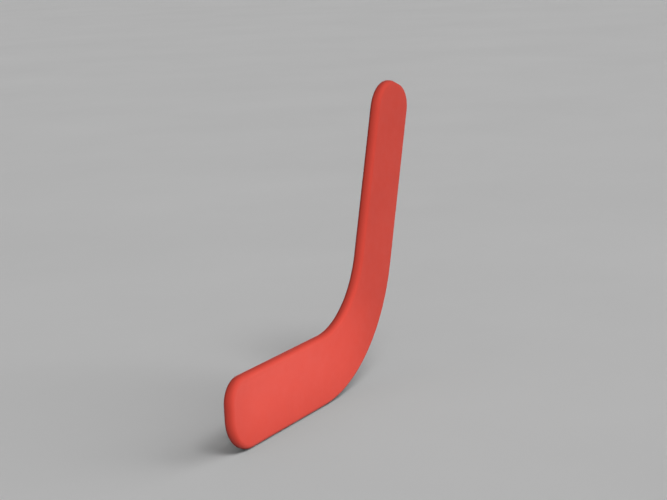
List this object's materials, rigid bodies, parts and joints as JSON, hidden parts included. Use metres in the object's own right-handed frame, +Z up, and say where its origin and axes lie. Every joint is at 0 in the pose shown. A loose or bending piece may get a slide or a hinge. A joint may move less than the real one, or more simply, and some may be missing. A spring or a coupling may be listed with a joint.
{
  "type": "boomerang",
  "caption": "Two-armed throwing boomerang of cross-laminated birch plywood with rounded edges and a satin red paint coat.",
  "frame": {"origin": "bottom centre of the whole blade's bounding box, on the surface that the lower arm's outer edge stands on", "axes": "+Z up; the blade lies in the XZ plane with the lower arm's tip towards -X and the upper arm rising towards +X; -Y is the front face and +Y the back face"},
  "size_m": [0.2452, 0.0068, 0.1922],
  "materials": {
    "paint_coat": "satin red enamel, primer and topcoat in one film",
    "face_veneer": "birch veneer, grain along the line between the tips, sanded",
    "cross_veneer": "birch veneer, grain across the face veneers, peeled",
    "core_veneer": "birch veneer, grain along the face veneers, peeled",
    "glue_line": "cured dark brown plywood glue"
  },
  "bodies": {
    "root": {"front_face_veneer": "face_veneer", "front_cross_veneer": "cross_veneer", "core_veneer": "core_veneer", "back_cross_veneer": "cross_veneer", "back_face_veneer": "face_veneer", "front_outer_glue_line": "glue_line", "front_inner_glue_line": "glue_line", "back_inner_glue_line": "glue_line", "back_outer_glue_line": "glue_line", "paint_coat": "paint_coat"}
  },
  "joints": []
}
